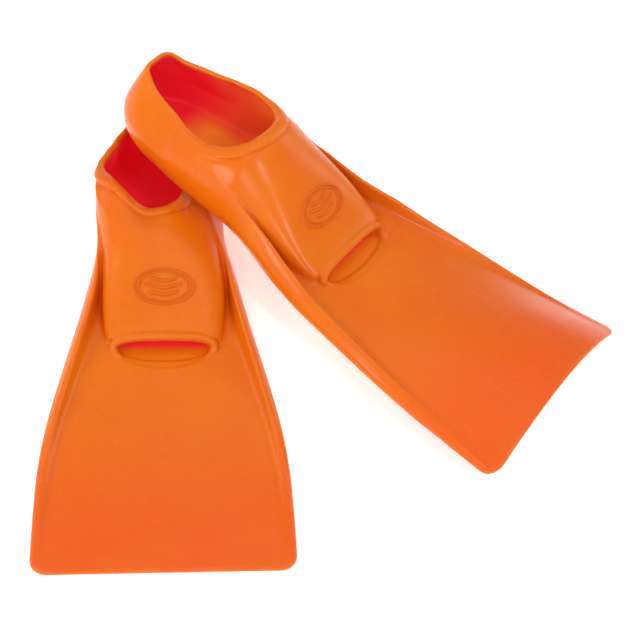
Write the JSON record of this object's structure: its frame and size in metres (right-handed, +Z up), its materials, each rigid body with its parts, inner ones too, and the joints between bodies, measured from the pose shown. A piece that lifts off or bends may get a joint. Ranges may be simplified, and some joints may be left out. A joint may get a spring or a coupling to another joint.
{
  "type": "swim fins",
  "caption": "Full-foot swim fins with arched foot pockets, toe drains and flared flexible blades edged by tapering rails, one fin lying across the other.",
  "frame": {"origin": "middle of the pair's bounding box, on the surface that it lies on", "axes": "+Z up; the lower fin lies along Y with its blade's tip towards -Y and its heel towards +Y; the upper fin lies across it with its tip towards +X and -Y"},
  "size_m": [0.393, 0.3704, 0.1143],
  "materials": {
    "foot_bed_a": "satin, moulded",
    "pocket_wall_a": "satin, moulded",
    "collar_bead_a": "satin, moulded",
    "vamp_a": "satin, moulded",
    "toe_lip_a": "satin, moulded",
    "apron_a": "satin, moulded",
    "badge_a": "satin, moulded",
    "flex_zone_a": "satin, moulded",
    "blade_a": "satin, moulded",
    "rail_root_left_a": "satin, moulded",
    "rail_left_a": "satin, moulded",
    "rail_root_right_a": "satin, moulded",
    "rail_right_a": "satin, moulded",
    "foot_bed_b": "satin, moulded",
    "pocket_wall_b": "satin, moulded",
    "collar_bead_b": "satin, moulded",
    "vamp_b": "satin, moulded",
    "toe_lip_b": "satin, moulded",
    "apron_b": "satin, moulded",
    "badge_b": "satin, moulded",
    "flex_zone_b": "satin, moulded",
    "blade_b": "satin, moulded",
    "rail_root_left_b": "satin, moulded",
    "rail_left_b": "satin, moulded",
    "rail_root_right_b": "satin, moulded",
    "rail_right_b": "satin, moulded"
  },
  "bodies": {
    "foot_a": {"foot_bed_a": "foot_bed_a", "pocket_wall_a": "pocket_wall_a", "collar_bead_a": "collar_bead_a", "vamp_a": "vamp_a", "toe_lip_a": "toe_lip_a", "apron_a": "apron_a", "badge_a": "badge_a", "flex_zone_a": "flex_zone_a", "rail_root_left_a": "rail_root_left_a", "rail_root_right_a": "rail_root_right_a"},
    "blade_body_a": {"blade_a": "blade_a", "rail_left_a": "rail_left_a", "rail_right_a": "rail_right_a"},
    "foot_b": {"foot_bed_b": "foot_bed_b", "pocket_wall_b": "pocket_wall_b", "collar_bead_b": "collar_bead_b", "vamp_b": "vamp_b", "toe_lip_b": "toe_lip_b", "apron_b": "apron_b", "badge_b": "badge_b", "flex_zone_b": "flex_zone_b", "rail_root_left_b": "rail_root_left_b", "rail_root_right_b": "rail_root_right_b"},
    "blade_body_b": {"blade_b": "blade_b", "rail_left_b": "rail_left_b", "rail_right_b": "rail_right_b"}
  },
  "joints": [
    {"name": "blade_flex_a", "type": "hinge", "parent": "foot_a", "child": "blade_body_a", "pos_m": [-0.11387, -0.05575, 0.0026], "axis": [-1, 0, 0], "range_deg": [-30, 30], "stiffness_Nm_per_rad": 4, "deforming": ["flex_zone_a"]},
    {"name": "lift_off_b", "type": "slide", "parent": "foot_a", "child": "foot_b", "axis": [0, 0, 1], "range_m": [0, 0.12]},
    {"name": "blade_flex_b", "type": "hinge", "parent": "foot_b", "child": "blade_body_b", "pos_m": [0.05045, 0.01779, 0.03154], "axis": [-0.6326, -0.7734, 0.0415], "range_deg": [-30, 30], "stiffness_Nm_per_rad": 4, "deforming": ["flex_zone_b"]}
  ]
}
